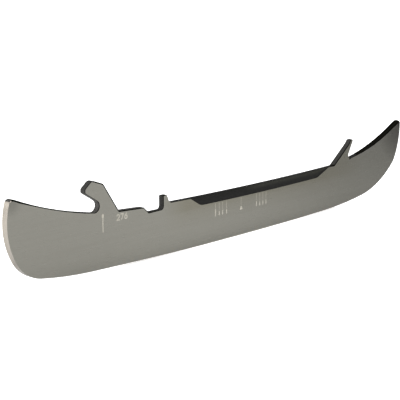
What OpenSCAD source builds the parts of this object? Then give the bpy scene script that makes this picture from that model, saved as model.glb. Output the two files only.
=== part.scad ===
// Ice hockey skate blade: a steel runner with a black filler strip bonded into a milled pocket on each side.
// X runs from heel to toe, Y across the thickness to the left side, Z up. The origin is the lowest point of
// the running edge, halfway along the blade. Every outline is drawn in the X-Z plane.

/* [Blade] */
// Overall length, from the back of the heel to the front of the toe
length = 276; // [240:1:310]
// Thickness of the steel
thickness = 3; // [2.6:0.1:4]
// Height of the body, from the running edge up to the seat
body_height = 22.4; // [18:0.1:26]

/* [Running edge] */
// Radius of the long rocker
rocker_r = 2743; // [2000:1:4000]
// Radius of the arc that eases the rocker up to the heel
heel_sweep_r = 190; // [120:1:260]
// Direction in which that arc ends, from straight down
heel_sweep_turn = 9.6; // [7:0.1:14]
// Radius of the heel's lower corner
heel_corner_r = 16; // [8:0.5:24]
// Direction in which the lower corner ends
heel_corner_turn = 61.7; // [50:0.1:70]
// Radius of the back of the heel
heel_back_r = 30; // [20:0.5:45]
// Direction in which the back of the heel ends
heel_back_turn = 107.5; // [95:0.5:109]
// Radius of the arc that eases the rocker up to the toe
toe_ease_r = 320; // [220:1:420]
// Direction in which that arc ends, from straight down
toe_ease_turn = 7.8; // [5:0.1:11]
// Radius of the long sweep under the toe
toe_sweep_r = 60; // [40:0.5:80]
// Direction in which the sweep ends
toe_sweep_turn = 41; // [30:0.5:48]
// Radius of the toe's lower corner
toe_corner_r = 10; // [5:0.5:20]
// Direction in which the lower corner ends
toe_corner_turn = 60; // [52:0.5:68]
// Radius of the front of the toe
toe_front_r = 36; // [24:0.5:50]
// Direction in which the front of the toe ends
toe_front_turn = 95; // [91:0.5:98]
// Radius of the hollow that the grinding wheel leaves between the two sharp edges
hollow_r = 12.7; // [9:0.1:26]

/* [Heel] */
// Height of the heel's upper corner
heel_height = 37.5; // [35:0.1:42]
// Rounding of that corner
heel_tip_r = 1.8; // [0.5:0.1:2.6]
// Fall of the heel's upper edge where it runs into the throat, in degrees
heel_floor_fall = 11; // [6:0.1:13]

/* [Rear hook] */
// Distance from the back of the heel to the centre of the throat
throat_from_heel = 42.8; // [36:0.1:50]
// Height of the throat's centre
throat_z = 27.9; // [26:0.1:32]
// Radius of the throat, which closes on the holder's pin
throat_r = 2.5; // [2:0.1:3.2]
// Slope of the underside of the beak, in degrees
beak_slope = 32; // [24:0.5:40]
// Reach of the beak behind the throat's centre
beak_reach = 4.9; // [3.5:0.1:7]
// Height of the beak's blunt end
beak_end_h = 1.6; // [1:0.1:2.4]
// Rounding of the beak
beak_r = 0.7; // [0.3:0.1:0.8]
// Height of the hook's peak
hook_height = 38.7; // [37.5:0.1:44]
// Distance from the throat's centre back to the hook's peak
hook_peak_back = 1; // [0.5:0.1:2.4]
// Rounding of the peak
hook_peak_r = 2.4; // [0.5:0.1:3]
// Distance from the throat's centre forward to the hook's rear shoulder
hook_shoulder_ahead = 4.8; // [3.5:0.1:7]
// Drop from the peak to the shoulder
hook_shoulder_drop = 2.1; // [1.5:0.1:4]
// Rounding of the shoulder
hook_shoulder_r = 2; // [0.5:0.1:3]
// Distance from the throat's centre forward to the foot of the hook
hook_foot_ahead = 13.2; // [10:0.1:15]
// Fillet at the foot of the hook
hook_foot_r = 1; // [0.4:0.1:2]

/* [Shelf, notch and tooth] */
// Height of the shelf at the foot of the hook
shelf_height = 24.1; // [23:0.1:25]
// Fall of the shelf toward the notch, in degrees
shelf_fall = 3; // [0:0.5:5]
// Distance from the throat's centre to the notch's sloping rear side, at the shelf
notch_from_throat = 27.3; // [22:0.1:30]
// Depth of the notch below the seat
notch_depth = 2.4; // [1.5:0.1:3.5]
// Steepness of the notch's rear side, in degrees
notch_slope = 42; // [30:1:60]
// Rounding of the notch's corners
notch_r = 0.8; // [0.3:0.1:1.2]
// Distance from the throat's centre to the upright face of the tooth
tooth_from_throat = 39.2; // [37:0.1:46]
// Height of the tooth's tip above the notch floor
tooth_h = 6; // [4:0.1:8]
// Width of the tooth's tip
tooth_tip_w = 2; // [1.2:0.1:3]
// Width of the tooth at its foot
tooth_foot_w = 3.8; // [3.2:0.1:6]
// Rounding of the tooth's tip
tooth_tip_r = 0.5; // [0.1:0.1:0.7]
// Fillet at the foot of the tooth's upright face
tooth_root_r = 1.5; // [0.5:0.1:2]
// Fillet where the tooth's sloping face runs into the seat
tooth_foot_r = 2; // [0.5:0.1:3]

/* [Front spur and toe] */
// Distance from the front of the toe back to the foot of the spur
spur_from_toe = 65.6; // [58:0.1:72]
// Rise of the spur's long side, in degrees
spur_rise = 36; // [31:0.1:38]
// Length of the spur along X, from its foot to its tip
spur_length = 15.6; // [14:0.1:17]
// Height of the spur above the seat
spur_h = 12.2; // [11.4:0.1:13.5]
// Rise of the long side where it turns up to the tip, in degrees
spur_tip_rise = 50; // [46:1:58]
// Radius of that upturn
spur_upturn_r = 6; // [3:0.5:8]
// Width of the spur's blunt tip
spur_tip_w = 2.1; // [1.6:0.1:3]
// Rounding of the spur's tip
spur_tip_r = 0.7; // [0.2:0.05:0.8]
// Steepness of the spur's undercut front side, in degrees
spur_undercut = 60; // [54:1:66]
// Fillet where the spur runs into the seat
spur_foot_r = 2.5; // [1:0.1:4]
// Radius at the bottom of the gap between spur and toe
spur_gap_r = 1.9; // [0.6:0.1:2]
// Height of the corner at the bottom of that gap, above the seat
spur_gap_h = 1.4; // [0.5:0.1:2]
// Rise of the toe's upper edge at the gap, in degrees
toe_root_rise = 9.5; // [7:0.1:14]
// Height of the toe's tip
toe_height = 42.4; // [40:0.1:47]
// Rounding of the toe's tip
toe_tip_r = 1.7; // [0.5:0.1:2.5]

/* [Side pockets and filler strips] */
// Height of a pocket below the seat
pocket_h = 4; // [2.5:0.1:6]
// Depth of a pocket into the side face
pocket_depth = 0.8; // [0.4:0.05:1.1]
// Distance from the upright face of the tooth to the rear end of a pocket's floor
pocket_from_tooth = 23.8; // [14:0.1:30]
// Distance from the foot of the spur back to the front end of a pocket's floor
pocket_from_spur = 15.1; // [13:0.1:30]
// Rise of a pocket's rear end, in degrees
pocket_rear_rise = 30; // [22:1:60]
// Radius at the foot of the rear end
pocket_rear_r = 6; // [3:0.5:7]
// Rise of a pocket's front end, in degrees
pocket_front_rise = 22; // [18:1:40]
// Radius at the foot of the front end
pocket_front_r = 6; // [2:0.5:10]
// Bond line left around a strip
bond_gap = 0.05; // [0.02:0.01:0.15]
// Depth of a strip's outer face below the side of the blade
strip_sunk = 0.15; // [0.05:0.05:0.3]

/* [Hidden] */

// Cuts and corner pieces run this far past the surface that they start from
overshoot = 1;
// Largest distance between a drawn circle and the true one
chord_error = 0.002;
// Height that the grinding wheel takes off the two sharp edges
edge_ground = 0.01;
// Measure of how much less deep the wheel goes along a tighter arc
groove_step = 0.001;
// Number of straight steps in the strips' long edges, which follow the seat
seat_steps = 24;
// Straight left at both ends of the dips in the heel's and toe's upper edges
dip_end = 4;

heel_x = -length/2;
toe_x = length/2;
rocker_centre = [0, rocker_r];
seat_r = rocker_r - body_height;
throat = [heel_x + throat_from_heel, throat_z];
tooth_x = throat.x + tooth_from_throat;
spur_foot_x = toe_x - spur_from_toe;

function unit(v) = v/norm(v);

// Direction at an angle from straight down, toward +X
function down(angle) = [sin(angle), -cos(angle)];

// Direction at an angle from +X, toward +Z
function along(angle) = [cos(angle), sin(angle)];

// Where the line from p along direction u meets the line from q along direction v
function meet(p, u, q, v) = p + u*cross(q - p, v)/cross(u, v);

// Height of the seat, or of a line a step below it, at one place along the blade
function seat_z(x, step = 0) = rocker_r - sqrt(pow(seat_r + step, 2) - x*x);

// Corner of the outline that an arc rounds, from the directions in which the arc starts and ends
function arc_corner(centre, r, from, to) = centre + down((from + to)/2)*r/cos((to - from)/2);

// Centre of an arc that goes on smoothly from another arc, at the direction where that one ends
function next_centre(centre, r, next_r, turn) = centre + (r - next_r)*down(turn);

// Angle at which q lies as seen from p
function angle_to(p, q) = atan2(q.y - p.y, q.x - p.x);

// Corner [x, z, rounding] of an edge that leaves p at an angle and bends evenly until it reaches q
function dip(p, angle, q) =
    let (half_turn = angle_to(p, q) - angle, leg = norm(q - p)/2/cos(half_turn))
    [each p + leg*along(angle), (leg - dip_end)/tan(abs(half_turn))];

// A rounding is drawn a hair larger than the corner asks for, so that it crosses its two lines
function drawn_r(r) = r*(1 + 5e-6) + 0.001;

// Number of sides that a circle of some radius needs
function sides(r) = max(48, ceil(180/acos(1 - chord_error/r)));

module disc(centre, r) {
    translate(centre)
        circle(r, $fn = sides(r));
}

// Shape between a corner q, its two neighbours' lines and the arc that rounds it
module corner_piece(p, q, s, r) {
    to_p = unit(p - q);
    to_s = unit(s - q);
    half = acos(to_p*to_s)/2;
    centre = q + unit(to_p + to_s)*r/sin(half);
    run = r/tan(half);
    difference() {
        polygon([q + to_p*run, q + unit(q - centre)*overshoot, q + to_s*run]);
        disc(centre, drawn_r(r));
    }
}

// Closed outline from corners [x, z, rounding], given counter-clockwise
module rounded_outline(corners) {
    n = len(corners);
    spot = [for (c = corners) [c.x, c.y]];
    turn = [for (i = [0:n - 1])
        cross(spot[i] - spot[(i + n - 1) % n], spot[(i + 1) % n] - spot[i])];
    difference() {
        union() {
            polygon(spot);
            for (i = [0:n - 1])
                if (corners[i].z > 0 && turn[i] < 0)
                    corner_piece(spot[(i + 1) % n], spot[i], spot[(i + n - 1) % n], corners[i].z);
        }
        for (i = [0:n - 1])
            if (corners[i].z > 0 && turn[i] > 0)
                corner_piece(spot[(i + n - 1) % n], spot[i], spot[(i + 1) % n], corners[i].z);
    }
}

// Running edge at the heel: each arc goes on smoothly from the last, and the back just reaches heel_x
heel_reach = heel_sweep_r*sin(heel_sweep_turn)
    + heel_corner_r*(sin(heel_corner_turn) - sin(heel_sweep_turn))
    + heel_back_r*(1 - sin(heel_corner_turn));
heel_join = -asin((-heel_x - heel_reach)/(rocker_r - heel_sweep_r));
heel_sweep_c = next_centre(rocker_centre, rocker_r, heel_sweep_r, heel_join);
heel_corner_c = next_centre(heel_sweep_c, heel_sweep_r, heel_corner_r, -heel_sweep_turn);
heel_back_c = next_centre(heel_corner_c, heel_corner_r, heel_back_r, -heel_corner_turn);
heel_back_end = heel_back_c + heel_back_r*down(-heel_back_turn);

// Running edge at the toe, in the same way
toe_reach = toe_ease_r*sin(toe_ease_turn)
    + toe_sweep_r*(sin(toe_sweep_turn) - sin(toe_ease_turn))
    + toe_corner_r*(sin(toe_corner_turn) - sin(toe_sweep_turn))
    + toe_front_r*(1 - sin(toe_corner_turn));
toe_join = asin((toe_x - toe_reach)/(rocker_r - toe_ease_r));
toe_ease_c = next_centre(rocker_centre, rocker_r, toe_ease_r, toe_join);
toe_sweep_c = next_centre(toe_ease_c, toe_ease_r, toe_sweep_r, toe_ease_turn);
toe_corner_c = next_centre(toe_sweep_c, toe_sweep_r, toe_corner_r, toe_sweep_turn);
toe_front_c = next_centre(toe_corner_c, toe_corner_r, toe_front_r, toe_corner_turn);
toe_front_end = toe_front_c + toe_front_r*down(toe_front_turn);

// Arcs of the running edge from heel to toe: centre, radius, and the directions in which each starts and ends
running_arcs = [
    [heel_back_c, heel_back_r, -heel_back_turn, -heel_corner_turn],
    [heel_corner_c, heel_corner_r, -heel_corner_turn, -heel_sweep_turn],
    [heel_sweep_c, heel_sweep_r, -heel_sweep_turn, heel_join],
    [rocker_centre, rocker_r, heel_join, toe_join],
    [toe_ease_c, toe_ease_r, toe_join, toe_ease_turn],
    [toe_sweep_c, toe_sweep_r, toe_ease_turn, toe_sweep_turn],
    [toe_corner_c, toe_corner_r, toe_sweep_turn, toe_corner_turn],
    [toe_front_c, toe_front_r, toe_corner_turn, toe_front_turn]
];
running_edge = [for (arc = running_arcs) [each arc_corner(arc[0], arc[1], arc[2], arc[3]), arc[1]]];

// Toe's upper edge, from the tip back to the gap, and the spur
toe_tip = meet(toe_front_end, along(toe_front_turn), [0, toe_height], along(0));
spur_foot = [spur_foot_x, seat_z(spur_foot_x)];
spur_tip = spur_foot + [spur_length, spur_h];
spur_upturn = meet(spur_foot, along(spur_rise), spur_tip, along(spur_tip_rise));
spur_nose = spur_tip + [spur_tip_w, 0];
spur_gap = meet(spur_nose, along(spur_undercut), spur_foot + [0, spur_gap_h], along(0));
toe_and_spur = [
    [each toe_tip, toe_tip_r],
    dip(spur_gap, toe_root_rise, toe_tip),
    [each spur_gap, spur_gap_r],
    [each spur_nose, spur_tip_r],
    [each spur_tip, spur_tip_r],
    [each spur_upturn, spur_upturn_r],
    [each spur_foot, spur_foot_r]
];

// Seat, hollow in step with the rocker: straight for a fillet's length at each end
tooth_foot_x = tooth_x + tooth_foot_w;
seat_rear_turn = asin((tooth_foot_x + 2*tooth_foot_r)/seat_r);
seat_front_turn = asin((spur_foot_x - 2*spur_foot_r)/seat_r);
seat = [
    [each arc_corner(rocker_centre, seat_r, seat_rear_turn, seat_front_turn), seat_r]
];

// Tooth, notch and shelf
notch_z = seat_z(tooth_x) - notch_depth;
tooth_tip_z = notch_z + tooth_h;
hook_foot = [throat.x + hook_foot_ahead, shelf_height];
notch_top = meet(hook_foot, along(-shelf_fall), [throat.x + notch_from_throat, 0], along(90));
notch_floor = meet(notch_top, along(-notch_slope), [0, notch_z], along(0));
tooth_and_notch = [
    [tooth_foot_x, seat_z(tooth_foot_x), tooth_foot_r],
    [tooth_x + tooth_tip_w, tooth_tip_z, tooth_tip_r],
    [tooth_x, tooth_tip_z, tooth_tip_r],
    [tooth_x, notch_z, tooth_root_r],
    [each notch_floor, notch_r],
    [each notch_top, notch_r]
];

// Rear hook, down to the throat, which a round cut finishes
beak_under = throat + throat_r*along(90 - beak_slope);
beak_end_x = throat.x - beak_reach;
beak_low = meet(beak_under, along(180 - beak_slope), [beak_end_x, 0], along(90));
throat_low = throat + throat_r*down(-heel_floor_fall);
rear_hook = [
    [each hook_foot, hook_foot_r],
    [throat.x + hook_shoulder_ahead, hook_height - hook_shoulder_drop, hook_shoulder_r],
    [throat.x - hook_peak_back, hook_height, hook_peak_r],
    [beak_end_x, beak_low.y + beak_end_h, beak_r],
    [each beak_low, beak_r],
    [each beak_under, 0],
    [each throat, 0],
    [each throat_low, 0]
];

// Heel's upper edge
heel_tip = meet(heel_back_end, along(90 - (heel_back_turn - 90)), [0, heel_height], along(0));
heel_top = [
    dip(throat_low, 180 - heel_floor_fall, heel_tip),
    [each heel_tip, heel_tip_r]
];

module blade_outline() {
    difference() {
        rounded_outline(concat(running_edge, toe_and_spur, seat, tooth_and_notch, rear_hook, heel_top));
        disc(throat, drawn_r(throat_r));
    }
}

// Points along the seat, or along a line a step below it
function seat_line(from_x, to_x, step = 0) = [for (i = [0:seat_steps])
    let (x = from_x + (to_x - from_x)*i/seat_steps) [x, seat_z(x, step), 0]];

// Side view of a pocket, open at the seat. A strip's outline stays back from it by the bond line.
module pocket_outline(back = 0) {
    drop = pocket_h - back;
    rear_x = tooth_x + pocket_from_tooth + back;
    front_x = spur_foot_x - pocket_from_spur - back;
    rear = [rear_x, seat_z(rear_x, drop)];
    front = [front_x, seat_z(front_x, drop)];
    roof_z = seat_z(spur_foot_x) + overshoot;
    rear_roof = meet(rear, along(180 - pocket_rear_rise), [0, roof_z], along(0));
    front_roof = meet(front, along(pocket_front_rise), [0, roof_z], along(0));
    rounded_outline([
        [each rear, pocket_rear_r],
        each seat_line(rear_x + pocket_rear_r, front_x - pocket_front_r, drop),
        [each front, pocket_front_r],
        [each front_roof, 0],
        [each rear_roof, 0]
    ]);
}

// Everything below the seat, between the tooth and the spur
module below_seat() {
    rounded_outline([
        [tooth_foot_x, 0, 0],
        [spur_foot_x, 0, 0],
        each seat_line(spur_foot_x, tooth_foot_x)
    ]);
}

// Plate of an outline, between two places across the thickness
module plate(from_y, to_y) {
    translate([0, to_y, 0])
        rotate([90, 0, 0])
            linear_extrude(to_y - from_y)
                children();
}

// Depth of the ground hollow at the middle of the thickness. The groove along a tighter arc is a few
// thousandths less deep, so that it starts inside the groove of its neighbour.
hollow_depth = hollow_r - sqrt(hollow_r*hollow_r - thickness*thickness/4) + edge_ground;
function groove_depth(r) = hollow_depth - groove_step*ln(rocker_r/r);

// Angle by which the groove along an arc runs on past a tighter neighbour, until it is clear of the steel
function run_on(r, next_r) = next_r < r ? 2*sqrt(hollow_depth/(1/next_r - 1/r))/r*180/PI : 0;

// Cut that the grinding wheel makes along one arc of the running edge
module groove(centre, r, from, to) {
    wheel = [r + hollow_r - groove_depth(r), 0];
    translate([centre.x, 0, centre.y])
        rotate([90, 0, 0])
            rotate(from - 90)
                rotate_extrude(angle = to - from, $fn = sides(r))
                    intersection() {
                        disc(wheel, hollow_r);
                        translate([r - overshoot, -thickness/2 - overshoot])
                            square([2*overshoot, thickness + 2*overshoot]);
                    }
}

module ground_hollow() {
    last = len(running_arcs) - 1;
    for (i = [0:last]) {
        arc = running_arcs[i];
        r = arc[1];
        before = i > 0 ? run_on(r, running_arcs[i - 1][1]) : 0;
        after = i < last ? run_on(r, running_arcs[i + 1][1]) : 0;
        groove(arc[0], r, arc[2] - before, arc[3] + after);
    }
}

module runner() {
    color("silver")
        difference() {
            plate(-thickness/2, thickness/2)
                blade_outline();
            ground_hollow();
            plate(-thickness/2 - overshoot, pocket_depth - thickness/2)
                pocket_outline();
            plate(thickness/2 - pocket_depth, thickness/2 + overshoot)
                pocket_outline();
        }
}

// Strip that fills the pocket on the left side, flush with the seat
module filler_strip() {
    color("#2b2b2b")
        plate(thickness/2 - pocket_depth + bond_gap, thickness/2 - strip_sunk)
            intersection() {
                pocket_outline(bond_gap);
                below_seat();
            }
}

module filler_strip_left() {
    filler_strip();
}

module filler_strip_right() {
    mirror([0, 1, 0])
        filler_strip();
}

runner();
filler_strip_right();
filler_strip_left();
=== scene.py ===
# %% [markdown]
# # An ice hockey skate blade in its studio
#
# The blade is one plate of steel, 3 mm thick, with a black strip set into a pocket on each side. Its
# solids are already made to size, so this lesson only dresses them: it breaks the sharp edges of the
# plate, gives each surface its own finish, etches the small marks and lights the whole.

# %% Load the frame
import math

import bmesh
import bpy
from mathutils import Matrix, Vector


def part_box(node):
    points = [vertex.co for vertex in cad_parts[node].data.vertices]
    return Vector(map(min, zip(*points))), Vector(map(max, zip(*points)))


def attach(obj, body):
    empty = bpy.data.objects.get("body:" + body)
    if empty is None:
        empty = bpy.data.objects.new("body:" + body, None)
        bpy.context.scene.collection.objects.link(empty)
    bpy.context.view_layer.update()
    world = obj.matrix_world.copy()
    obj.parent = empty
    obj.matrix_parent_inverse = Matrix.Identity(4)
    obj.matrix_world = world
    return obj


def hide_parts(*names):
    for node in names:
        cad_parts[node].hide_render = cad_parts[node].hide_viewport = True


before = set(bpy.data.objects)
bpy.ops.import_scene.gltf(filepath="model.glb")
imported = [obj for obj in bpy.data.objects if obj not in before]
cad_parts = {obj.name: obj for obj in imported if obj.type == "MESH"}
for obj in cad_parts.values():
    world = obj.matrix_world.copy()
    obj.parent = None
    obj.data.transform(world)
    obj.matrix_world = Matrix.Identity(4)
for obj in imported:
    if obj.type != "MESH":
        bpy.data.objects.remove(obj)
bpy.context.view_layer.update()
MM = 0.001

# %% [markdown]
# ## Measures
#
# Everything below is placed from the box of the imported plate. X runs from heel to toe, Y across the
# thickness and Z up. The side that the camera sees is the right one, at the low end of Y.

# %% Take the measures of the plate
blade_low, blade_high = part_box("runner")
HEEL_X = blade_low.x
TOE_X = blade_high.x
TOE_Z = blade_high.z
HALF_THICK = blade_high.y
print("length", round((TOE_X - HEEL_X) / MM, 2), "thickness", round(2 * HALF_THICK / MM, 2))

# %% [markdown]
# ## Camera
#
# The blade is seen from behind its heel, low and from the right. A camera can be aimed with a
# constraint, but the angles are known here, so its three axes are worked out and handed over as one
# matrix. The long lens keeps the far toe from shrinking too much.

# %% Aim the camera
CAMERA_PLACE = Vector((-344.12, -281.97, 107.12)) * MM
CAMERA_HEADING = math.radians(42.0)
CAMERA_DIP = math.radians(11.51)
CAMERA_LEAN = math.radians(0.118)
CAMERA_LENS = 86.35
SENSOR_WIDTH = 36.0


def camera_axes(heading, dip, lean):
    """Right, up and back directions of a camera that looks along a heading and dips below the horizon."""
    level = Vector((math.cos(heading), math.sin(heading), 0))
    right = Vector((math.sin(heading), -math.cos(heading), 0))
    forward = level * math.cos(dip) - Vector((0, 0, math.sin(dip)))
    up = right.cross(forward)
    turn = Matrix.Rotation(lean, 3, "Y")
    return [turn @ axis for axis in (right, up, -forward)]


camera_data = bpy.data.cameras.new("studio_camera")
camera_data.sensor_width = SENSOR_WIDTH
camera_data.lens = CAMERA_LENS
camera = bpy.data.objects.new("studio_camera", camera_data)
bpy.context.scene.collection.objects.link(camera)
camera_turn = Matrix(camera_axes(CAMERA_HEADING, CAMERA_DIP, CAMERA_LEAN)).transposed()
camera.matrix_world = Matrix.Translation(CAMERA_PLACE) @ camera_turn.to_4x4()
bpy.context.scene.camera = camera
print("camera looks along", [round(c, 4) for c in -camera_turn.col[2]])

# %% [markdown]
# ## Finishes from nodes
#
# A finish is a small graph of nodes: noise in the object's own coordinates drives colour, roughness and
# a little bump. Pictures of steel would need a flat layout of the surface, and noise needs none. The
# coordinates are in metres, so a grain of a fraction of a millimetre is made by stretching the space
# that the noise reads.

# %% Start a finish and give it grain
GRAIN_DETAIL = 3.0


def new_finish(name):
    """New material, with its node tree and its shader."""
    material = bpy.data.materials.new(name)
    material.use_nodes = True
    tree = material.node_tree
    return material, tree, tree.nodes["Principled BSDF"]


def place_of(tree):
    """Place on the object, in metres."""
    return tree.nodes.new("ShaderNodeTexCoord").outputs["Object"]


def grain(tree, size):
    """Noise whose lumps have the given size along X, Y and Z, in metres."""
    stretch = tree.nodes.new("ShaderNodeMapping")
    stretch.inputs["Scale"].default_value = [1 / s for s in size]
    noise = tree.nodes.new("ShaderNodeTexNoise")
    noise.inputs["Scale"].default_value = 1.0
    noise.inputs["Detail"].default_value = GRAIN_DETAIL
    tree.links.new(place_of(tree), stretch.inputs["Vector"])
    tree.links.new(stretch.outputs["Vector"], noise.inputs["Vector"])
    return noise.outputs["Fac"]


print("every grain is noise of detail", GRAIN_DETAIL)

# %% [markdown]
# ## Black of the edges
#
# The broken edges, the free tips and the tops of both ends are dead black. Black steel could be a dark
# mirror, but then the bright room would lift it to grey, so this black is rough and mirrors nothing.
# Noise seldom reaches the ends of its range, so the middle of its values is spread over all of a tone
# or a roughness.

# %% Make the black of the edges
NOISE_LOW = 0.3
NOISE_HIGH = 0.7


def spread(tree, value, low, high):
    """The middle of a noise's values, spread from low to high."""
    node = tree.nodes.new("ShaderNodeMapRange")
    node.inputs["From Min"].default_value = NOISE_LOW
    node.inputs["From Max"].default_value = NOISE_HIGH
    node.inputs["To Min"].default_value = low
    node.inputs["To Max"].default_value = high
    tree.links.new(value, node.inputs["Value"])
    return node.outputs["Result"]


def tones(tree, value, dark, light):
    """Colour between two tones, by a noise's value."""
    ramp = tree.nodes.new("ShaderNodeValToRGB")
    ramp.color_ramp.elements[0].position = NOISE_LOW
    ramp.color_ramp.elements[0].color = (*dark, 1)
    ramp.color_ramp.elements[1].position = NOISE_HIGH
    ramp.color_ramp.elements[1].color = (*light, 1)
    tree.links.new(value, ramp.inputs["Fac"])
    return ramp.outputs["Color"]


def relief(tree, shader, value, height, strength):
    """Bump of a height in metres."""
    bump = tree.nodes.new("ShaderNodeBump")
    bump.inputs["Distance"].default_value = height
    bump.inputs["Strength"].default_value = strength
    tree.links.new(value, bump.inputs["Height"])
    tree.links.new(bump.outputs["Normal"], shader.inputs["Normal"])


def black_finish():
    """Dead black with a fine rough skin."""
    material, tree, shader = new_finish("black_edge")
    skin = grain(tree, (0.6 * MM, 0.6 * MM, 0.6 * MM))
    black = tones(tree, skin, (0.003, 0.003, 0.002), (0.006, 0.006, 0.005))
    tree.links.new(black, shader.inputs["Base Color"])
    tree.links.new(spread(tree, skin, 0.7, 0.85), shader.inputs["Roughness"])
    shader.inputs["Specular IOR Level"].default_value = 0.0
    relief(tree, shader, skin, 0.01 * MM, 0.3)
    return material


black_edge = black_finish()
print("finish made:", black_edge.name)

# %% [markdown]
# ## Cut rim
#
# The rim of the plate was cut and then darkened. The darkening is thicker toward both edges of the rim,
# where the cutter leaves a burr. So the tone depends on the place: one coordinate of it runs through a
# ramp of greys. The same ramp shades other finishes below.

# %% Darken the rim toward its edges
DARK_EDGE_FROM = 0.75 * MM
DARK_EDGE_TO = 1.3 * MM


def coordinate(tree, axis):
    """One coordinate of the place on the blade."""
    part = tree.nodes.new("ShaderNodeSeparateXYZ")
    tree.links.new(place_of(tree), part.inputs["Vector"])
    return part.outputs[axis]


def ramp_by(tree, value, stops):
    """Grey by a value: stops are pairs of a value and a brightness."""
    low = stops[0][0]
    high = stops[-1][0]
    scale = tree.nodes.new("ShaderNodeMapRange")
    scale.inputs["From Min"].default_value = low
    scale.inputs["From Max"].default_value = high
    ramp = tree.nodes.new("ShaderNodeValToRGB")
    for _ in stops[2:]:
        ramp.color_ramp.elements.new(0.5)
    for element, (stop, grey) in zip(ramp.color_ramp.elements, stops):
        element.position = (stop - low) / (high - low)
        element.color = (grey, grey, grey, 1)
    tree.links.new(value, scale.inputs["Value"])
    tree.links.new(scale.outputs["Result"], ramp.inputs["Fac"])
    return ramp.outputs["Color"]


def edge_share(tree):
    """Zero along the middle of the rim, one at both its edges."""
    away = tree.nodes.new("ShaderNodeMath")
    away.operation = "ABSOLUTE"
    tree.links.new(coordinate(tree, "Y"), away.inputs[0])
    return ramp_by(tree, away.outputs["Value"], [(DARK_EDGE_FROM, 0.0), (DARK_EDGE_TO, 1.0)])


print("rim darkens from", DARK_EDGE_FROM / MM, "to", DARK_EDGE_TO / MM, "mm off its middle")

# %% [markdown]
# The cut leaves fine lines straight across the thickness, so the grain of the rim is long along Y and
# short along X and Z. Three rims share this graph and differ in tone alone: the plain cut, the rubbed
# backs of the hook and the spur, and the places that a holder wears.

# %% Make the three rims
EDGE_DARK = (0.016, 0.016, 0.014)
EDGE_LIGHT = (0.026, 0.026, 0.023)


def mixed(tree, share, first, second, way="MIX"):
    """Second colour over the first, by a share or in full."""
    mix = tree.nodes.new("ShaderNodeMix")
    mix.data_type = "RGBA"
    mix.blend_type = way
    mix.inputs["Factor"].default_value = 1.0
    if share:
        tree.links.new(share, mix.inputs["Factor"])
    tree.links.new(first, mix.inputs["A"])
    tree.links.new(second, mix.inputs["B"])
    return mix.outputs["Result"]


def rim_finish(name, dark, light):
    """Cut and darkened steel between two tones."""
    material, tree, shader = new_finish(name)
    cut_lines = grain(tree, (0.25 * MM, 3 * MM, 0.25 * MM))
    shader.inputs["Metallic"].default_value = 0.6
    middle = tones(tree, cut_lines, dark, light)
    edges = tones(tree, cut_lines, EDGE_DARK, EDGE_LIGHT)
    tree.links.new(mixed(tree, edge_share(tree), middle, edges), shader.inputs["Base Color"])
    tree.links.new(spread(tree, cut_lines, 0.5, 0.65), shader.inputs["Roughness"])
    relief(tree, shader, cut_lines, 0.02 * MM, 0.5)
    return material


cut_rim = rim_finish("cut_rim", (0.018, 0.0175, 0.016), (0.030, 0.029, 0.027))
worn_rim = rim_finish("worn_rim", (0.058, 0.056, 0.051), (0.098, 0.095, 0.088))
rubbed_rim = rim_finish("rubbed_rim", (0.030, 0.029, 0.027), (0.050, 0.0485, 0.0445))
print("finishes made:", cut_rim.name, worn_rim.name, rubbed_rim.name)

# %% [markdown]
# ## Ground steel
#
# Only the running surface is bare. The grinding wheel has cut the coat away and left fine scratches
# along the edge, so it is much brighter than the rest. Light is painted into it as well: a ramp by
# height is multiplied into its tone, a painted highlight that makes it brightest near the top of the
# heel.

# %% Make the ground steel
# painted highlight: brightness of the ground steel by height, highest near the top of the heel
GROUND_PAINTED_LIGHT = (
    (10 * MM, 0.49),
    (14 * MM, 0.375),
    (18 * MM, 0.385),
    (30 * MM, 0.51),
    (32 * MM, 0.62),
    (35.2 * MM, 0.94),
    (37 * MM, 0.83),
)


def ground_finish():
    """Bare steel with scratches along the edge."""
    material, tree, shader = new_finish("ground_steel")
    scratches = grain(tree, (5 * MM, 0.08 * MM, 5 * MM))
    shader.inputs["Metallic"].default_value = 1.0
    bare = tones(tree, scratches, (0.655, 0.600, 0.522), (0.709, 0.648, 0.560))
    # painted highlight by height
    height = ramp_by(tree, coordinate(tree, "Z"), GROUND_PAINTED_LIGHT)
    tree.links.new(mixed(tree, None, bare, height, "MULTIPLY"), shader.inputs["Base Color"])
    tree.links.new(spread(tree, scratches, 0.24, 0.32), shader.inputs["Roughness"])
    relief(tree, shader, scratches, 0.004 * MM, 0.15)
    return material


ground_steel = ground_finish()
print("finish made:", ground_steel.name)

# %% [markdown]
# ## Coated sides
#
# Both sides carry a thin grey coat over steel: a dim, satin mirror with a grain that runs along the
# blade. Shade and light are painted over the coat's tone: painted shade darkens it around the tip of
# the toe and a little around the top of the heel, painted shade dims it close under the seat, where it
# is also warmer, and painted light brightens it along the foot. Colours on the corners of the mesh
# can't show this, because a flat side has corners only along its border. So each is a ramp by place.

# %% Shade the coat by place
TOE_TIP = Vector((TOE_X, 0, TOE_Z))
# painted shade around the tip of the toe and the top of the heel: pairs of a distance in mm and a
# brightness
TOE_PAINTED_SHADE = ((0, 0.05), (2.5, 0.10), (4.5, 0.42), (7, 0.50), (14, 0.66), (24, 1.0))
HEEL_TOP = Vector((HEEL_X + 2 * MM, 0, 35.5 * MM))
HEEL_PAINTED_SHADE = ((1.5, 0.77), (3, 0.84), (4.5, 0.95), (6, 1.0))
# painted shade: the coat is dimmer, and warmer, close under the seat
UNDER_SEAT_X = ((-56 * MM, 0), (-42 * MM, 1), (60 * MM, 1), (85 * MM, 0.5), (100 * MM, 0))
UNDER_SEAT_Z = ((9 * MM, 0), (13.5 * MM, 0.25), (16.3 * MM, 0.5), (18.6 * MM, 1))
UNDER_SEAT_TINT = (0.86, 0.84, 0.77, 1)
WHITE = (1, 1, 1, 1)


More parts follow.
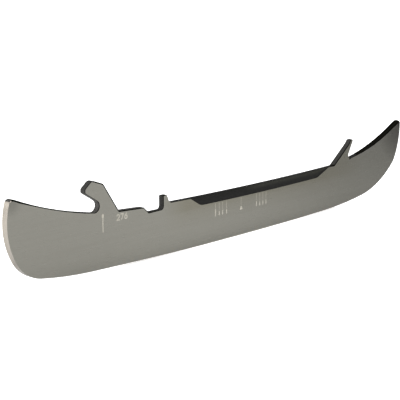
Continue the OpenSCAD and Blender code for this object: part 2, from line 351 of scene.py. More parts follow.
def painted_shade_around(tree, middle, stops):
    """Painted shade, dark around a place and clear away from it: stops are pairs of a distance in mm and
    a brightness.
    """
    gap = tree.nodes.new("ShaderNodeVectorMath")
    gap.operation = "DISTANCE"
    gap.inputs[1].default_value = middle
    tree.links.new(place_of(tree), gap.inputs[0])
    return ramp_by(tree, gap.outputs["Value"], [(away * MM, grey) for away, grey in stops])


def painted_shade_under_seat(tree):
    """White, but dimmer close under the seat, as painted shade, and warmer there."""
    along = ramp_by(tree, coordinate(tree, "X"), UNDER_SEAT_X)
    up = ramp_by(tree, coordinate(tree, "Z"), UNDER_SEAT_Z)
    tint = tree.nodes.new("ShaderNodeMix")
    tint.data_type = "RGBA"
    tint.inputs["A"].default_value = WHITE
    tint.inputs["B"].default_value = UNDER_SEAT_TINT
    tree.links.new(mixed(tree, None, along, up, "MULTIPLY"), tint.inputs["Factor"])
    return tint.outputs["Result"]


print("toe is painted_dark", TOE_PAINTED_SHADE[-1][0], "mm far, heel", HEEL_PAINTED_SHADE[-1][0], "mm")

# %% [markdown]
# The grain has two sizes. Wide streaks vary the tone by a little, and fine ones vary the roughness and
# the bump, which draws out the mirror of the floor. The painted shade and light are multiplied into the
# tone one after the other. With the coat made, the finishes of the steel are numbered in the order of
# their list.

# %% Make the coat of the sides
# painted light: the coat is brighter toward the foot, by height
FOOT_PAINTED_LIGHT = ((0, 1.0), (3 * MM, 0.971), (6 * MM, 0.933), (12 * MM, 0.90))


def side_finish():
    """Satin grey coat with a grain along the blade."""
    material, tree, shader = new_finish("coated_side")
    streaks = grain(tree, (40 * MM, 4 * MM, 0.8 * MM))
    shader.inputs["Metallic"].default_value = 1.0
    coat = tones(tree, streaks, (0.300, 0.293, 0.258), (0.309, 0.302, 0.267))
    # painted shade around the tip of the toe and the top of the heel
    painted_shades = [painted_shade_around(tree, TOE_TIP, TOE_PAINTED_SHADE), painted_shade_around(tree, HEEL_TOP, HEEL_PAINTED_SHADE)]
    # painted light along the foot
    foot = ramp_by(tree, coordinate(tree, "Z"), FOOT_PAINTED_LIGHT)
    for shade in painted_shades + [painted_shade_under_seat(tree), foot]:
        coat = mixed(tree, None, coat, shade, "MULTIPLY")
    tree.links.new(coat, shader.inputs["Base Color"])
    fine = grain(tree, (6 * MM, 1 * MM, 0.12 * MM))
    tree.links.new(spread(tree, fine, 0.27, 0.33), shader.inputs["Roughness"])
    relief(tree, shader, fine, 0.004 * MM, 0.15)
    return material


coated_side = side_finish()
SIDE, RIM, WORN, GROUND, BLACK, RUBBED = range(6)
steel_finishes = [coated_side, cut_rim, worn_rim, ground_steel, black_edge, rubbed_rim]
print("steel finishes:", [m.name for m in steel_finishes])

# %% [markdown]
# ## The runner
#
# A plate as it comes from the cutter has knife-sharp corners, and every real one is deburred before it
# is handled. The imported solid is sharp, so a copy of it is dressed and stands for it. First the copy's
# triangles are welded and the flat ones merged, so that each side is one face with a clean border.

# %% Copy the runner and merge its flat faces
WELD = 0.01 * MM
FLAT = math.radians(0.1)


def clean_copy(node):
    """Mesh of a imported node, with welded corners and with its flat faces merged."""
    mesh = bmesh.new()
    mesh.from_mesh(node.data)
    bmesh.ops.remove_doubles(mesh, verts=mesh.verts, dist=WELD)
    bmesh.ops.dissolve_limit(mesh, angle_limit=FLAT, verts=mesh.verts, edges=mesh.edges)
    mesh.normal_update()
    return mesh


runner_mesh = clean_copy(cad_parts["runner"])
print("runner faces after merging:", len(runner_mesh.faces))

# %% [markdown]
# Next each face gets its finish. Painting by hand would be lost with every new size of blade, so a face
# is known by the way it faces and by its place. A side faces along Y. The running surface faces down to
# the ice, or out at the heel and the toe as far up as the wheel goes. All the rest of the rim is a cut
# face.

# %% Know the sides and the running surface
SIDEWAYS = 0.99
DOWNWARD = -0.02
HEELWARD = -0.2
TOEWARD = 0.3
SEAT_Z = 20 * MM
END_ZONE = 10 * MM
GROUND_TOP_HEEL = 36.2 * MM
GROUND_TOP_TOE = 40.49 * MM


def is_side(face):
    """True on the sides of the plate and on the floors of its pockets."""
    return abs(face.normal.y) > SIDEWAYS


def is_ground(face):
    """True where the grinding wheel goes: along the foot and up both ends."""
    spot = face.calc_center_median()
    on_foot = face.normal.z < DOWNWARD and spot.z < SEAT_Z
    at_heel = spot.x < HEEL_X + END_ZONE and spot.z < GROUND_TOP_HEEL and face.normal.x < HEELWARD
    at_toe = spot.x > TOE_X - END_ZONE and spot.z < GROUND_TOP_TOE and face.normal.x > TOEWARD
    return on_foot or at_heel or at_toe


print("sides and pocket floors:", sum(is_side(f) for f in runner_mesh.faces))
print("ground faces:", sum(is_ground(f) and not is_side(f) for f in runner_mesh.faces))

# %% [markdown]
# The upper edges of the heel and the toe, the foot of the spur and the free tips of the tooth, the spur
# and the toe are black. A tip is known by a box around it, because its faces turn too much to be known
# by their way alone.

# %% Know the black places
BLACK_TOPS = ((-134.5 * MM, -125 * MM), (69 * MM, 74 * MM), (93 * MM, 139 * MM))
TIPS = (
    (-57 * MM, -51 * MM, 25.8 * MM),
    (84 * MM, 91 * MM, 34.4 * MM),
    (134.5 * MM, 139 * MM, 40 * MM),
)
UPWARD = 0.3
TIP_UPWARD = 0.85


def at_tip(spot):
    """True at the free ends of the tooth, the spur and the toe."""
    return any(low < spot.x < high and spot.z > foot for low, high, foot in TIPS)


def is_black(face):
    """True on the upper edges of the heel and the toe, at the foot of the spur and on the tips."""
    spot = face.calc_center_median()
    on_top = face.normal.z > UPWARD and any(low < spot.x < high for low, high in BLACK_TOPS)
    return on_top or (at_tip(spot) and face.normal.z > TIP_UPWARD)


print("black faces:", sum(is_black(f) for f in runner_mesh.faces))

# %% [markdown]
# A blade is snapped in and out of its holder, and that leaves traces on the rim. The backs of the hook
# and the spur are rubbed. The underside of the hook, its throat, the shelf behind the notch and the
# upper corner of the heel are worn paler. On a rim 3 mm wide one tone for each face is enough, so no
# mask of wear is painted.

# %% Know the rubbed and worn places
HOOK_ZONE = (-101 * MM, -85 * MM)
HOOK_BACKWARD = -0.3
HOOK_BACK_FOOT = 33.5 * MM
THROAT_FLOOR_FROM_X = -97 * MM
THROAT_FLOOR_TOP = 26.5 * MM
SPUR_ZONE = (73 * MM, 90 * MM)
SPUR_BACKWARD = -0.5
SHELF_ZONE = (-80 * MM, -70.5 * MM)
SHELF_UPWARD = 0.9
HEEL_CORNER_X = -134.5 * MM


def on_hook(face):
    """True on the back of the hook, on its underside and in its throat."""
    spot = face.calc_center_median()
    on_floor = spot.x > THROAT_FLOOR_FROM_X and spot.z < THROAT_FLOOR_TOP
    return HOOK_ZONE[0] < spot.x < HOOK_ZONE[1] and (face.normal.x < HOOK_BACKWARD or on_floor)


def is_rubbed(face):
    """True on the backs of the hook and the spur."""
    spot = face.calc_center_median()
    on_spur = SPUR_ZONE[0] < spot.x < SPUR_ZONE[1] and face.normal.x < SPUR_BACKWARD
    return on_spur or (on_hook(face) and spot.z > HOOK_BACK_FOOT)


def is_worn(face):
    """True on the corner of the heel, under the hook and on the shelf behind the notch."""
    spot = face.calc_center_median()
    on_shelf = SHELF_ZONE[0] < spot.x < SHELF_ZONE[1] and face.normal.z > SHELF_UPWARD
    return spot.x < HEEL_CORNER_X or on_hook(face) or on_shelf


print("rubbed faces:", sum(is_rubbed(f) and not is_side(f) for f in runner_mesh.faces))

# %% [markdown]
# Some places overlap, so the order counts: a side is always a side, the wheel cuts through everything
# on the rim, and black lies over what is rubbed or worn.

# %% Sort the runner's faces by finish
def finish_of(face):
    """Number of a face's finish."""
    if is_side(face):
        return SIDE
    if is_ground(face):
        return GROUND
    if is_black(face):
        return BLACK
    if is_rubbed(face):
        return RUBBED
    return WORN if is_worn(face) else RIM


for face in runner_mesh.faces:
    face.material_index = finish_of(face)
for number, finish in enumerate(steel_finishes):
    print(finish.name, "on", sum(f.material_index == number for f in runner_mesh.faces), "faces")

# %% [markdown]
# ## Black line and broken edges
#
# The black of the rim creeps over onto the sides as a fine line. It is a hair on the hook and the
# shelf, wider at the heel, and toward the tip of the toe it grows to a strip. Its width is therefore a
# chain of straight lines along X.

# %% Set the width of the black line
LINE_STOPS = (
    (-139, 0.4),
    (-136, 0.4),
    (-135.4, 0.7),
    (-133, 0.75),
    (-129, 0.75),
    (-126, 0.45),
    (-112, 0.3),
    (-100, 0.3),
    (-95, 0.55),
    (-82, 0.55),
    (-80, 0.06),
    (-71, 0.06),
    (-70, 0.45),
    (-65, 0.45),
    (-64, 0.15),
    (71, 0.15),
    (73, 0.6),
    (87.5, 0.5),
    (88, 0.15),
    (94, 0.3),
    (100, 0.6),
    (115, 1.05),
    (127, 1.1),
    (139, 1.5),
)


def between(stops, x):
    """Value at x on a chain of straight lines through pairs of a place and a value."""
    for (x0, v0), (x1, v1) in zip(stops, stops[1:]):
        if x0 <= x <= x1 and x1 > x0:
            return v0 + (v1 - v0) * (x - x0) / (x1 - x0)
    return stops[-1][1]


def line_width(spot):
    """Width of the black line at a place on the outline."""
    return between(LINE_STOPS, spot.x / MM) * MM


print("black line at the toe in mm:", round(line_width(TOE_TIP) / MM, 2))

# %% [markdown]
# There is no line along the running edge, where the wheel has ground the black away, nor around the
# pockets and on the fronts of the tooth and the spur. Beside the worn corner of the heel the border is
# given the bright ground finish as a painted highlight.

# %% Know the borders with a line
LINE_FROM_X = -135.8 * MM
FRONT_LINE_Z = 40 * MM
BARE_FRONTS = ((-57 * MM, -51 * MM), (84 * MM, 91 * MM))
FRONT_TOEWARD = 0.5


def is_pocket_wall(face):
    """True on a face that lies all on one side of the plate's middle."""
    across = [v.co.y for v in face.verts]
    return min(across) > WELD or max(across) < -WELD


def has_line(edge):
    """True where the rim's black reaches the border of a side."""
    rim = next(f for f in edge.link_faces if not is_side(f))
    spot = rim.calc_center_median()
    high_on_toe = rim.normal.x > TOEWARD and spot.z > FRONT_LINE_Z
    on_front = any(low < spot.x < high for low, high in BARE_FRONTS)
    bare_front = rim.normal.x > FRONT_TOEWARD and on_front
    if is_pocket_wall(rim) or bare_front or spot.x < LINE_FROM_X:
        return False
    return rim.material_index != GROUND or high_on_toe


def on_heel_corner(edge):
    """True where the worn corner of the heel meets a side."""
    worn = any(f.material_index == WORN for f in edge.link_faces)
    return worn and edge.verts[0].co.x < HEEL_CORNER_X


def is_outer_side(face):
    """True on a side of the plate, but not on the floor of a pocket."""
    return is_side(face) and abs(abs(face.calc_center_median().y) - HALF_THICK) < WELD


sides = [f for f in runner_mesh.faces if is_outer_side(f)]
border = {e for f in sides for e in f.edges}
lined = {e for e in border if has_line(e)}
print("border edges:", len(border), "with a black line:", len(lined))

# %% [markdown]
# The line is real geometry. A margin is split off the border of each side by an inset of one width, and
# its inner corners are then moved in or out to the width that each place needs. On the hook, where X
# says little about the place, the line has one width. A bevel modifier would do much the same on a
# simpler outline, but it folds over where the sharp ends of the pockets reach the seat.

# %% Split the margins off the sides
MARGIN = 0.2 * MM
HOOK_LINE = 0.17 * MM

first_corners = set(runner_mesh.verts)
bmesh.ops.inset_individual(runner_mesh, faces=sides, thickness=MARGIN, use_even_offset=True)
# painted highlight: the border beside the worn corner of the heel gets the bright ground finish
painted_highlight_edges = {e for e in border - lined if on_heel_corner(e)}
painted = {v for e in lined | painted_highlight_edges for v in e.verts}
thin = {v for e in lined for f in e.link_faces if on_hook(f) for v in e.verts}
inner_corners = [v for v in runner_mesh.verts if v not in first_corners]
for vert in inner_corners:
    neighbours = [e.other_vert(vert) for e in vert.link_edges]
    corner = next(v for v in neighbours if v in first_corners)
    if corner in painted:
        width = HOOK_LINE if corner in thin else line_width(corner.co)
        vert.co = corner.co + (vert.co - corner.co) * width / MARGIN
print("corners of the margins:", len(inner_corners))

# %% [markdown]
# Now each margin is painted. The outer corners of the black ones are drawn in a little across the
# thickness, so the black line is also the broken edge, and they are drawn in more at the free tips.

# %% Paint the margins and break the edges
BREAK = 0.12 * MM
TIP_BREAK = 0.4 * MM


def margin_finish(edge):
    """Number of the finish of the margin along an edge of the border."""
    if edge in lined:
        return BLACK
    return GROUND if edge in painted_highlight_edges else SIDE


for edge in border:
    margin = next(f for f in edge.link_faces if is_side(f))
    margin.material_index = margin_finish(edge)
broken = 0
for corner in {v for e in lined for v in e.verts}:
    if all(e in lined for e in corner.link_edges if e in border):
        corner.co.y *= 1 - (TIP_BREAK if at_tip(corner.co) else BREAK) / HALF_THICK
        broken += 1
runner_mesh.normal_update()
print("corners drawn in:", broken)

# %% [markdown]
# The tips of the tooth, the spur and the toe are a little round across the thickness. Cutting the rim
# along its middle gives corners there, and those at the tips are lifted. Subdividing would round the
# rest of the rim as well, and that is flat.

# %% Crown the tips
TIP_CROWN = 0.2 * MM

everything = runner_mesh.verts[:] + runner_mesh.edges[:] + runner_mesh.faces[:]
cut = bmesh.ops.bisect_plane(
    runner_mesh, geom=everything, dist=WELD, plane_co=(0, 0, 0), plane_no=(0, 1, 0)
)
runner_mesh.normal_update()
cut_corners = [v for v in cut["geom_cut"] if isinstance(v, bmesh.types.BMVert)]
lifted = [v for v in cut_corners if at_tip(v.co)]
for vert in lifted:
    vert.co += vert.normal * TIP_CROWN
runner_mesh.normal_update()
print("corners lifted at the tips:", len(lifted))

# %% [markdown]
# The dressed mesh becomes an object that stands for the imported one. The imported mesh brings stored
# normals along, which no longer fit, so they are removed. The round rim is shaded smooth up to its
# sharp corners, and the sides stay flat, because smooth shading would bend the mirror near their
# borders.

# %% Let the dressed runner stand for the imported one
SHARP = math.radians(35)
FLAT_SIDE = 0.9
PACKED_NORMALS = "custom_normal"


def new_piece(name, mesh_data):
    """Object of the blade, which rides on its one body."""
    piece = bpy.data.objects.new(name, mesh_data)
    bpy.context.scene.collection.objects.link(piece)
    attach(piece, "root")
    return piece


runner_data = bpy.data.meshes.new("runner_dressed")
runner_mesh.to_mesh(runner_data)
runner_mesh.free()
for finish in steel_finishes:
    runner_data.materials.append(finish)
runner = new_piece("runner_dressed", runner_data)
if PACKED_NORMALS in runner_data.attributes:
    runner_data.attributes.remove(runner_data.attributes[PACKED_NORMALS])
runner_data.set_sharp_from_angle(angle=SHARP)
for face in runner_data.polygons:
    face.use_smooth = abs(face.normal.y) < FLAT_SIDE
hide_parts("runner")
smooth = sum(f.use_smooth for f in runner_data.polygons)
print("runner dressed, faces:", len(runner_data.polygons), "smooth:", smooth)

# %% [markdown]
# ## Filler strips
#
# A black satin plastic fills each pocket. The imported strip has a flat outer face. A strip that is
# pressed or cast in place ends up slightly crowned, and the crown catches a little light along its upper
# half; the stronger line of light there is a painted sheen. Subdividing the flat face would leave its
# slanted ends ragged, so the upper and lower borders of the face are read off the imported strip, and a
# crowned strip is lofted between them.

# %% Read the borders of a strip's outer face
def outer_borders(node, face_y):
    """Lower and upper border [x, z] of the face at face_y, both from the rear end to the front end."""
    mesh = clean_copy(node)
    outer = [f for f in mesh.faces if abs(f.calc_center_median().y - face_y) < WELD]
    loop = [(v.co.x, v.co.z) for v in max(outer, key=lambda f: f.calc_area()).verts]
    mesh.free()
    rear = loop.index(min(loop))
    loop = loop[rear:] + loop[:rear]
    front = loop.index(max(loop))
    chains = [loop[: front + 1], [loop[0]] + loop[front:][::-1]]
    return sorted(chains, key=lambda chain: sum(z for _, z in chain) / len(chain))


right_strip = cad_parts["filler_strip_right"]
right_borders = outer_borders(right_strip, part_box(right_strip.name)[0].y)
print("points on the strip's lower and upper border:", [len(chain) for chain in right_borders])

# %% [markdown]
# Each step along the strip has one ring of points. The outer ones lie on a flat arc, which flattens out
# toward the sharp ends, and two more points close the ring at the floor of the pocket. Every point also
# carries a share of painted sheen, a painted highlight which is high on the upper half and fades out
# toward the rear.

# %% Make one ring of a strip
STRIP_ROWS = 8
STRIP_FULL_H = 4 * MM
CROWN = 0.13 * MM
SHEEN_ROWS = (0.45, 0.75)
SHEEN_X = (-3 * MM, 8 * MM)


def rise(value, low, high):
    """Zero up to low, one from high on."""
    return min(1, max(0, (value - low) / (high - low)))


def strip_ring(mesh, sheen, x, foot, top, inner_y, outer_y):
    """Corners round a strip at one x, from its foot up the outer face and back down the inner one."""
    side = math.copysign(1, outer_y)
    bulge = CROWN * ((top - foot) / STRIP_FULL_H) ** 2
    ring = []
    for row in range(STRIP_ROWS + 1):
        share = row / STRIP_ROWS
        out = outer_y + side * bulge * (1 - (2 * share - 1) ** 2)
        ring.append(mesh.verts.new((x, out, foot + (top - foot) * share)))
        # share of the painted sheen, a painted highlight on the upper half
        ring[-1][sheen] = rise(share, *SHEEN_ROWS) * rise(x, *SHEEN_X)
    ring.append(mesh.verts.new((x, inner_y, top)))
    ring.append(mesh.verts.new((x, inner_y, foot)))
    return ring


print("a ring has", STRIP_ROWS + 3, "points and a crown of", CROWN / MM, "mm")

# %% [markdown]
# The rings are joined by rows of four-cornered faces, and the first and the last ring are closed. The
# same loft makes the etched marks below.

# %% Loft a crowned strip
STRIP_STEP = 1 * MM
TIP_CUT = 0.1 * MM


def loft(mesh, rings):
    """Closed skin over a row of rings with the same number of corners."""
    for ring, after in zip(rings, rings[1:]):
        for k in range(len(ring)):
            j = (k + 1) % len(ring)
            mesh.faces.new((ring[k], ring[j], after[j], after[k]))
    mesh.faces.new(rings[0])
    mesh.faces.new(rings[-1])


def crowned_strip(name, node):
    """Mesh of a strip whose outer face bulges by the crown where the strip has its full height."""
    low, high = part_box(node.name)
    inner_y, outer_y = sorted((low.y, high.y), key=abs)
    lower, upper = outer_borders(node, outer_y)
    count = round((high.x - low.x) / STRIP_STEP)
    mesh = bmesh.new()
    sheen = mesh.verts.layers.float.new("sheen")
    rings = []
    for i in range(count + 1):
        x = low.x + TIP_CUT + (high.x - low.x - 2 * TIP_CUT) * i / count
        rings.append(strip_ring(mesh, sheen, x, between(lower, x), between(upper, x), inner_y, outer_y))
    loft(mesh, rings)
    bmesh.ops.recalc_face_normals(mesh, faces=mesh.faces)
    for face in mesh.faces:
        face.smooth = True
    data = bpy.data.meshes.new(name)
    mesh.to_mesh(data)
    mesh.free()
    data.set_sharp_from_angle(angle=SHARP)
    return data


print("one ring each", STRIP_STEP / MM, "mm")

# %% [markdown]
# The plastic is black, and a little lighter where the painted sheen lies on it. It mirrors little, so
# the bright room doesn't wash it out. The strips differ only in their side, so one loop makes both.

# %% Fill the pockets
def filler_finish():
    """Black satin plastic with a painted sheen on its upper half."""
    material, tree, shader = new_finish("black_filler")
    skin = grain(tree, (1.2 * MM, 0.4 * MM, 0.4 * MM))
    sheen = tree.nodes.new("ShaderNodeAttribute")
    sheen.attribute_name = "sheen"
    deep = tones(tree, skin, (0.006, 0.006, 0.005), (0.0105, 0.0105, 0.0095))
    # painted sheen: a lighter tone where the sheen share is high
    painted_sheen_tone = tones(tree, skin, (0.016, 0.016, 0.013), (0.022, 0.022, 0.018))
    tree.links.new(mixed(tree, sheen.outputs["Fac"], deep, painted_sheen_tone), shader.inputs["Base Color"])
    tree.links.new(spread(tree, skin, 0.4, 0.55), shader.inputs["Roughness"])
    shader.inputs["Specular IOR Level"].default_value = 0.1
    relief(tree, shader, skin, 0.01 * MM, 0.2)
    return material


filler = filler_finish()
for name in ("filler_strip_right", "filler_strip_left"):
    strip_data = crowned_strip(name + "_crowned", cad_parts[name])
    strip_data.materials.append(filler)
    strip = new_piece(name + "_crowned", strip_data)
    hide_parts(name)
    print(name, "crowned, faces:", len(strip_data.polygons))

# %% [markdown]
# ## Etched marks
#
# A laser burns the coat off in thin lines, which show paler than the side: a line under the hook for
# setting the blade in a holder, the length of the blade in millimetres, and a small scale below the
# strip. Text objects could make the number, but a marking laser draws single strokes, so each figure is
# a stroke along a few points. A stroke has round ends, so its width is drawn in there step by step.

# %% Lay out a stroke
END_TURNS = [math.radians(a) for a in (25, 50, 75)]
LEAST_MITRE = 0.5


def stroke_stations(points, width):
    """Places along a stroke with the half width across it, drawn in at both ends to make them round."""
    spots = [Vector(p) for p in points]
    ways = [(b - a).normalized() for a, b in zip(spots, spots[1:])]
    half = width / 2
    stations = []
    for i, spot in enumerate(spots):
        before = ways[max(i - 1, 0)]
        after = ways[min(i, len(ways) - 1)]
        middle = (before + after).normalized()
        across = Vector((-middle.y, middle.x)) * half / max(LEAST_MITRE, middle.dot(before))
        stations.append((spot, across))
    first, last = stations[0], stations[-1]
    start = [(first[0] - ways[0] * half * math.sin(a), first[1] * math.cos(a)) for a in END_TURNS[::-1]]
    end = [(last[0] + ways[-1] * half * math.sin(a), last[1] * math.cos(a)) for a in END_TURNS]
    return start + stations + end


print("a straight stroke has", len(stroke_stations([(0, 0), (1, 0)], 1)), "stations")

# %% [markdown]
# A stroke is a ribbon a hundredth of a millimetre proud of the side, with its root in the steel. Where
# strokes cross or close on themselves, two faces at one height would flicker between each other, so
# each station lies a tiny layer prouder than the one before.

# %% Raise a stroke on the right side
MARK_RISE = 0.012 * MM
MARK_ROOT = 0.02 * MM
MARK_LAYER = 0.0005 * MM


def add_solid(mesh, pairs, first_layer=0):
    """Closed solid on the right side through pairs of points [x, z], a layer prouder at each pair."""
    root_y = -HALF_THICK + MARK_ROOT
    rings = []
    for layer, (a, b) in enumerate(pairs, first_layer):
        top_y = -HALF_THICK - MARK_RISE - layer * MARK_LAYER
        spots = ((a.x, top_y, a.y), (b.x, top_y, b.y), (b.x, root_y, b.y), (a.x, root_y, a.y))
        rings.append([mesh.verts.new(spot) for spot in spots])
    loft(mesh, rings)


def add_stroke(mesh, points, width, first_layer=0):
    """Ribbon of one width along points [x, z]."""
    stations = stroke_stations(points, width)
    add_solid(mesh, [(spot + across, spot - across) for spot, across in stations], first_layer)


marks_mesh = bmesh.new()
print("marks stand", MARK_RISE / MM, "mm proud or a little more")

# %% [markdown]
# The figures are drawn in a box one unit high. A two is an arc and two straights, a seven is two
# straights, and a six is a sweep that closes into a ring.

# %% Draw the size number
FIGURE_W = 0.62
FIGURE_R = FIGURE_W / 2
NUMBER = "276"
NUMBER_PLACE = (-83.4 * MM, 20.4 * MM)
NUMBER_H = 2.3 * MM
NUMBER_STEP = 2.15 * MM
NUMBER_STROKE = 0.45 * MM


def arc(centre, r, start, end, steps=10):
    """Points [x, z] along an arc, with its angles in degrees."""
    angles = [math.radians(start + (end - start) * i / steps) for i in range(steps + 1)]
    return [(centre[0] + r * math.cos(a), centre[1] + r * math.sin(a)) for a in angles]


FIGURES = {
    "2": arc((FIGURE_R, 1 - FIGURE_R), FIGURE_R, 160, -40) + [(0, 0), (FIGURE_W, 0)],
    "7": [(0, 1), (FIGURE_W, 1), (0.2, 0)],
    "6": [(0.5, 1), (0.2, 0.66)] + arc((FIGURE_R, FIGURE_R), FIGURE_R, 155, 515, 16),
}
for place, figure in enumerate(NUMBER):
    corner_x = NUMBER_PLACE[0] + place * NUMBER_STEP
    points = [(corner_x + x * NUMBER_H, NUMBER_PLACE[1] + z * NUMBER_H) for x, z in FIGURES[figure]]
    add_stroke(marks_mesh, points, NUMBER_STROKE)
print("figures drawn:", NUMBER, "faces so far:", len(marks_mesh.faces))

# %% [markdown]
# The setting line ends in a dot, which lies on higher layers than the line because the two overlap.

# %% Draw the setting line
SETTING_X = -91.1 * MM
SETTING_FOOT = 16.9 * MM
SETTING_TOP = 23.2 * MM
SETTING_W = 0.45 * MM
SETTING_DOT = 1.1 * MM
DOT_LAYER = 20

dot_top = SETTING_TOP + SETTING_DOT / 2
add_stroke(marks_mesh, [(SETTING_X, SETTING_FOOT), (SETTING_X, SETTING_TOP)], SETTING_W)
add_stroke(marks_mesh, [(SETTING_X, SETTING_TOP), (SETTING_X, dot_top)], SETTING_DOT, DOT_LAYER)
print("setting line in mm:", round((dot_top - SETTING_FOOT) / MM, 2))

# %% [markdown]
# The scale has four short ticks on each side of a middle mark, and each tick is a place and a height.
# From each of them a hairline runs up to the strip, so fine that it shows only as a faint streak.

# %% Draw the scale
TICK_W = 0.6 * MM
TICK_FOOT = 12.2 * MM
REAR_TICKS = (
    (-22.3 * MM, 2.8 * MM),
    (-19.7 * MM, 1.5 * MM),
    (-17.3 * MM, 1.6 * MM),
    (-14.5 * MM, 1.5 * MM),
)
FRONT_TICKS = (
    (7.5 * MM, 1.9 * MM),
    (10.0 * MM, 1.5 * MM),
    (12.4 * MM, 1.5 * MM),
    (14.8 * MM, 1.8 * MM),
)
MIDDLE_X = -4.0 * MM
MIDDLE_H = 1.7 * MM
MIDDLE_FOOT_HALF = 1.1 * MM
MIDDLE_TIP_HALF = MIDDLE_FOOT_HALF / 6
HAIRLINE_W = 0.16 * MM
HAIRLINE_TOP = 18.0 * MM

for x, tall in REAR_TICKS + FRONT_TICKS + ((MIDDLE_X, MIDDLE_H),):
    add_stroke(marks_mesh, [(x, TICK_FOOT + tall + TICK_W), (x, HAIRLINE_TOP)], HAIRLINE_W)
for x, tall in REAR_TICKS + FRONT_TICKS:
    add_stroke(marks_mesh, [(x, TICK_FOOT), (x, TICK_FOOT + tall)], TICK_W)
middle_foot = [Vector((MIDDLE_X + way * MIDDLE_FOOT_HALF, TICK_FOOT)) for way in (-1, 1)]
middle_tip = [Vector((MIDDLE_X + way * MIDDLE_TIP_HALF, TICK_FOOT + MIDDLE_H)) for way in (-1, 1)]
add_solid(marks_mesh, [middle_foot, middle_tip])
print("ticks drawn:", len(REAR_TICKS + FRONT_TICKS))

# %% [markdown]
# Burnt steel is pale, rough and hardly mirrors, so the marks read on the side from every angle. All of
# them are one piece, because they share one finish and never move apart.

# %% Etch the marks
def mark_finish():
    """Pale burnt steel."""
    material, tree, shader = new_finish("etched_mark")
    burn = grain(tree, (0.15 * MM, 0.15 * MM, 0.15 * MM))
    shader.inputs["Metallic"].default_value = 0.3
    pale = tones(tree, burn, (0.385, 0.365, 0.31), (0.465, 0.44, 0.375))
    tree.links.new(pale, shader.inputs["Base Color"])
    tree.links.new(spread(tree, burn, 0.5, 0.7), shader.inputs["Roughness"])
    return material


marks_data = bpy.data.meshes.new("etched_marks")
bmesh.ops.recalc_face_normals(marks_mesh, faces=marks_mesh.faces)
marks_mesh.to_mesh(marks_data)
marks_mesh.free()
marks_data.materials.append(mark_finish())
new_piece("etched_marks", marks_data)
print("marks drawn, faces:", len(marks_data.polygons))

# %% [markdown]
# ## Floor and surround
#
# The blade stands on a white floor that runs out of sight. A floor lit by lamps alone would show a
# patch of shadow under the blade, so this one also glows a little by itself.

# %% Lay the floor
FLOOR_HALF = 6.0
FLOOR_GLOW = 0.5


def pale_finish(name, glow):
    """White of the floor and of the surround, with a faint cloud in it."""
    material, tree, shader = new_finish(name)
    cloud = grain(tree, (0.5, 0.5, 0.5))
    white = tones(tree, cloud, (0.86, 0.86, 0.86), (0.88, 0.88, 0.88))
    tree.links.new(white, shader.inputs["Base Color"])
    shader.inputs["Roughness"].default_value = 0.9
    shader.inputs["Specular IOR Level"].default_value = 0.1
    shader.inputs["Emission Color"].default_value = WHITE
    shader.inputs["Emission Strength"].default_value = glow
    return material


def new_stage(name, points, faces, finish):
    """Object that is not part of the blade."""
    mesh = bpy.data.meshes.new(name)
    mesh.from_pydata(points, [], faces)
    mesh.materials.append(finish)
    thing = bpy.data.objects.new(name, mesh)
    bpy.context.scene.collection.objects.link(thing)
    return thing


floor_points = [(x * FLOOR_HALF, y * FLOOR_HALF, 0) for x, y in ((-1, -1), (1, -1), (1, 1), (-1, 1))]
floor = new_stage("floor", floor_points, [(0, 1, 2, 3)], pale_finish("pale_floor", FLOOR_GLOW))
print("floor in metres:", [round(side, 2) for side in floor.dimensions])

# %% [markdown]
# A white wall stands on the floor in a wide ring. It is only there for the camera: what the steel
# mirrors is the floor, and above the floor the dim room of the world.

# %% Put up the surround
SURROUND_R = 5.5
SURROUND_H = 4.0
SURROUND_SIDES = 64
SURROUND_GLOW = 1.0


def show_only_to(thing, camera=False, mirror=False):
    """Leaves a stage object visible only to the camera or only to the mirror of the steel."""
    thing.visible_camera = camera
    thing.visible_glossy = mirror
    thing.visible_diffuse = False
    thing.visible_transmission = False
    thing.visible_shadow = False


turns = [2 * math.pi * i / SURROUND_SIDES for i in range(SURROUND_SIDES)]
wall_points = [
    (SURROUND_R * math.cos(a), SURROUND_R * math.sin(a), z) for z in (0, SURROUND_H) for a in turns
]
wall_faces = []
for i in range(SURROUND_SIDES):
    j = (i + 1) % SURROUND_SIDES
    wall_faces.append((i, j, j + SURROUND_SIDES, i + SURROUND_SIDES))
surround = new_stage("surround", wall_points, wall_faces, pale_finish("pale_surround", SURROUND_GLOW))
show_only_to(surround, camera=True)
print("surround has", len(wall_faces), "panels")

# %% [markdown]
# The room itself is bright on the heel's side and dark on the toe's side. A ramp along the X direction
# of the world gives that in one smooth step, so the mirror has no hard borders in it.

# %% Shade the room from heel to toe
ROOM_STOPS = ((-1.0, 1.0), (-0.3, 0.9), (0.15, 0.45), (0.5, 0.1), (1.0, 0.05))


def ramp_along(tree, coordinates, way, stops):
    """Grey that changes along one direction."""
    along = tree.nodes.new("ShaderNodeVectorMath")
    along.operation = "DOT_PRODUCT"
    along.inputs[1].default_value = way
    tree.links.new(coordinates, along.inputs[0])
    return ramp_by(tree, along.outputs["Value"], stops)


world = bpy.data.worlds.new("room")
bpy.context.scene.world = world
world.use_nodes = True
room = world.node_tree
room_direction = room.nodes.new("ShaderNodeTexCoord").outputs["Generated"]
room_grey = ramp_along(room, room_direction, (1, 0, 0), ROOM_STOPS)
room.links.new(room_grey, room.nodes["Background"].inputs["Color"])
room.nodes["Background"].inputs["Strength"].default_value = 1.0
print("room goes from", ROOM_STOPS[0][1], "at the heel to", ROOM_STOPS[-1][1], "at the toe")

# %% [markdown]
# ## Light
#
# One very wide lamp overhead lights the floor evenly, and the steel is lit by the floor. A lamp would
# show as a bright patch in the satin sides, so this one is kept out of the mirror, and it throws no
# shadow.

# %% Hang the lamp
LAMP_STRENGTH = 3.2
LAMP_WIDTH = math.radians(120)

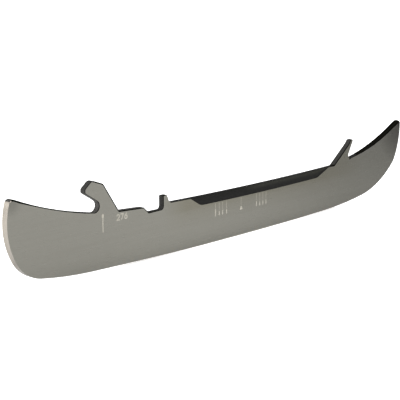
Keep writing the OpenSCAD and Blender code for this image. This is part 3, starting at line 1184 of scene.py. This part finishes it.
lamp_data = bpy.data.lights.new("wide_lamp", "SUN")
lamp_data.energy = LAMP_STRENGTH
lamp_data.angle = LAMP_WIDTH
lamp_data.use_shadow = False
lamp = bpy.data.objects.new("wide_lamp", lamp_data)
bpy.context.scene.collection.objects.link(lamp)
lamp.visible_glossy = False
print("lamp strength:", LAMP_STRENGTH)

# %% [markdown]
# The sides mirror the floor, and a white floor alone would make them white. So a graded card lies on
# the floor at each side of the blade, from its foot outward, and only the mirror sees it. Its grey
# falls off past the toe, which gives the sides their slow change from heel to toe. A gap at the foot
# would show as a bright band there.

# %% Lay the graded cards
CARD_SLANT = 0.5
CARD_STOPS = (
    (-0.60, 0.67),
    (-0.10, 0.67),
    (-0.04, 0.70),
    (0.01, 0.67),
    (0.05, 0.60),
    (0.09, 0.515),
    (0.15, 0.395),
    (0.22, 0.315),
    (0.30, 0.20),
    (0.40, 0.10),
    (0.60, 0.05),
)
CARD_REAR_X = {"right": -0.60, "left": HEEL_X}
CARD_FRONT_X = 0.60
CARD_FAR = 0.55
CARD_LIFT = 0.3 * MM
CARD_GAP = 0.1 * MM


def graded_finish(name, way, stops):
    """Matt grey that changes along one direction, with its node tree, its shader and its grey."""
    material, tree, shader = new_finish(name)
    grey = ramp_along(tree, place_of(tree), way, stops)
    shader.inputs["Roughness"].default_value = 0.9
    shader.inputs["Specular IOR Level"].default_value = 0.0
    return material, tree, shader, grey


def lay_card(side, way):
    """Graded card on the floor at one side of the blade, from its foot outward."""
    name = "graded_card_" + side
    near = way * (HALF_THICK + CARD_GAP)
    far = way * CARD_FAR
    rear = CARD_REAR_X[side]
    corners = ((rear, far), (CARD_FRONT_X, far), (CARD_FRONT_X, near), (rear, near))
    finish, tree, shader, grey = graded_finish(name, (1, -way * CARD_SLANT, 0), CARD_STOPS)
    tree.links.new(grey, shader.inputs["Base Color"])
    card = new_stage(name, [(x, y, CARD_LIFT) for x, y in corners], [(0, 1, 2, 3)], finish)
    show_only_to(card, mirror=True)
    print(name, "is", round(card.dimensions.x, 3), "m long")


lay_card("right", -1)
lay_card("left", 1)

# %% [markdown]
# At the far edge of the right card stands a white panel, which glows and goes dark past the toe. It
# fills the mirror of the right side above the card. The standard view keeps the tones as the nodes give
# them.

# %% Stand up the panel
PANEL_STOPS = ((0.30, 1.0), (0.67, 0.80), (0.80, 0.45), (0.95, 0.15), (1.10, 0.05))
PANEL_REAR_X = -0.8
PANEL_FRONT_X = PANEL_STOPS[-1][0]
PANEL_H = 0.7
BLACK_BASE = (0, 0, 0, 1)

panel_finish, panel_tree, panel_shader, panel_grey = graded_finish("white_panel", (1, 0, 0), PANEL_STOPS)
panel_shader.inputs["Base Color"].default_value = BLACK_BASE
panel_tree.links.new(panel_grey, panel_shader.inputs["Emission Color"])
panel_shader.inputs["Emission Strength"].default_value = 1.0
panel_corners = ((PANEL_REAR_X, 0), (PANEL_FRONT_X, 0), (PANEL_FRONT_X, PANEL_H), (PANEL_REAR_X, PANEL_H))
panel_points = [(x, -CARD_FAR, z) for x, z in panel_corners]
panel = new_stage("white_panel", panel_points, [(0, 1, 2, 3)], panel_finish)
show_only_to(panel, mirror=True)
bpy.context.scene.view_settings.view_transform = "Standard"
print("panel in metres:", [round(side, 2) for side in panel.dimensions])
